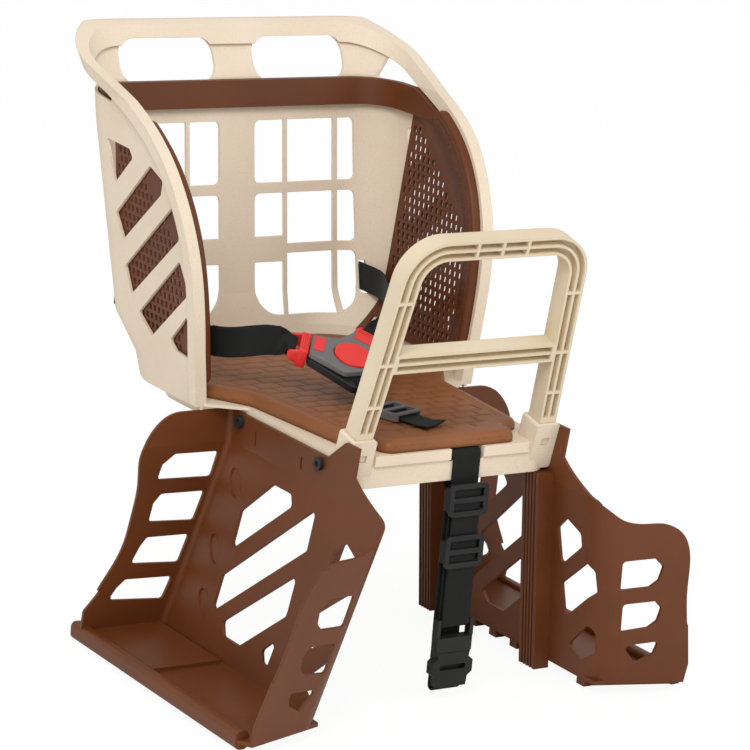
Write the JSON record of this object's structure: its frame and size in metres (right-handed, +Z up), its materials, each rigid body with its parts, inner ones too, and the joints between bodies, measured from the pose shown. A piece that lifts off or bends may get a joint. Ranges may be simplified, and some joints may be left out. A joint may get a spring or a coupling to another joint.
{
  "type": "rear child bike seat",
  "caption": "Moulded rear bike seat for a child: bucket shell with a mesh liner, ribbed grab bar, footrest tubs, embossed pad, harness with a press-button buckle and a front belt.",
  "frame": {"origin": "centre of the carrier bolt pattern, on the underside of the seat pan", "axes": "+Z up, the child faces -Y, +X is the child's left"},
  "size_m": [0.488, 0.5572, 0.554],
  "materials": {
    "beige_plastic": "fine speckled matte",
    "cream_plastic": "satin",
    "brown_plastic": "satin grained",
    "pad_brown": "soft embossed",
    "black_steel": "black",
    "zinc_steel": "zinc plated",
    "dark_plastic": "satin",
    "grey_plastic": "satin",
    "red_plastic": "glossy",
    "webbing": "woven"
  },
  "bodies": {
    "seat": {"seat_shell": "beige_plastic", "side_liner": "brown_plastic", "seat_pad": "pad_brown", "grab_bar": "cream_plastic", "footrest_left": "brown_plastic", "footrest_right": "brown_plastic", "footrest_bolts": "black_steel", "footrest_nuts": "zinc_steel", "buckle_base": "dark_plastic", "buckle_cover": "grey_plastic", "tongue_left": "red_plastic", "tongue_right": "red_plastic", "lap_strap_left": "webbing", "lap_strap_right": "webbing", "crotch_strap": "webbing", "crotch_slider": "dark_plastic", "front_belt": "webbing", "front_belt_return": "webbing", "belt_slider_upper": "dark_plastic", "belt_slider_lower": "dark_plastic", "belt_buckle_plug": "dark_plastic", "belt_buckle_socket": "dark_plastic"},
    "button": {"press_button": "red_plastic"}
  },
  "joints": [
    {"name": "button_press", "type": "slide", "parent": "seat", "child": "button", "axis": [0, 0.3746, -0.9272], "range_m": [0, 0.0025], "stiffness_N_per_m": 400}
  ]
}
